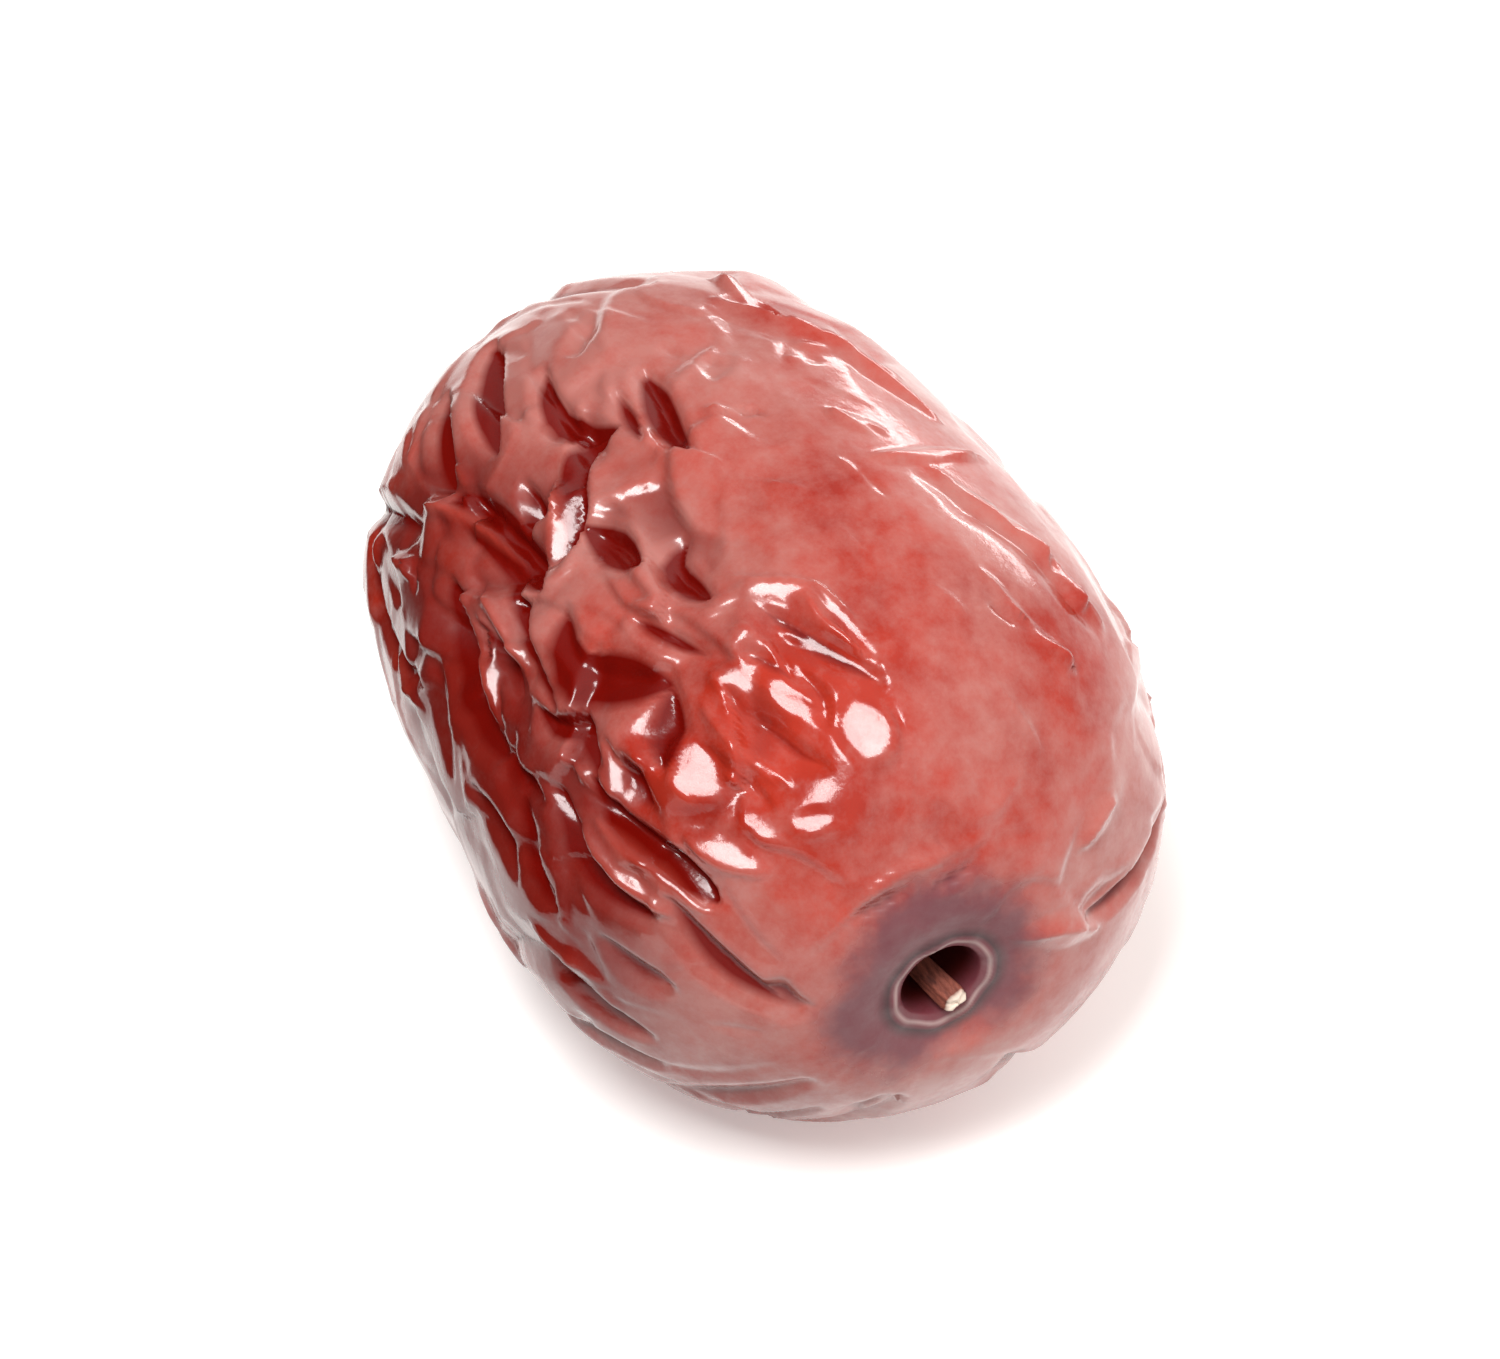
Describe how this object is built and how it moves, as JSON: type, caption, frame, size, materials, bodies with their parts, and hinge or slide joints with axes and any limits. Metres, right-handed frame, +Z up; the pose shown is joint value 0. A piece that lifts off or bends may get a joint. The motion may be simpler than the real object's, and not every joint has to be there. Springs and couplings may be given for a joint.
{
  "type": "dried jujube",
  "caption": "Whole dried jujube, a blunt oval fruit with wrinkled skin and a short dry stem stub in the hollow at its stem end, lying on its side.",
  "frame": {"origin": "middle of the underside of the fruit's box, on the surface that it lies on", "axes": "+X along the fruit towards its stem end, +Z up"},
  "size_m": [0.0338, 0.025, 0.0244],
  "materials": {
    "skin": "glossy wrinkled dried fruit skin, deep red, with a dull purple-brown zone round the stem end",
    "stem": "dry ribbed brown stalk with a pale cut end"
  },
  "bodies": {
    "root": {"fruit": "skin", "stem": "stem"}
  },
  "joints": []
}
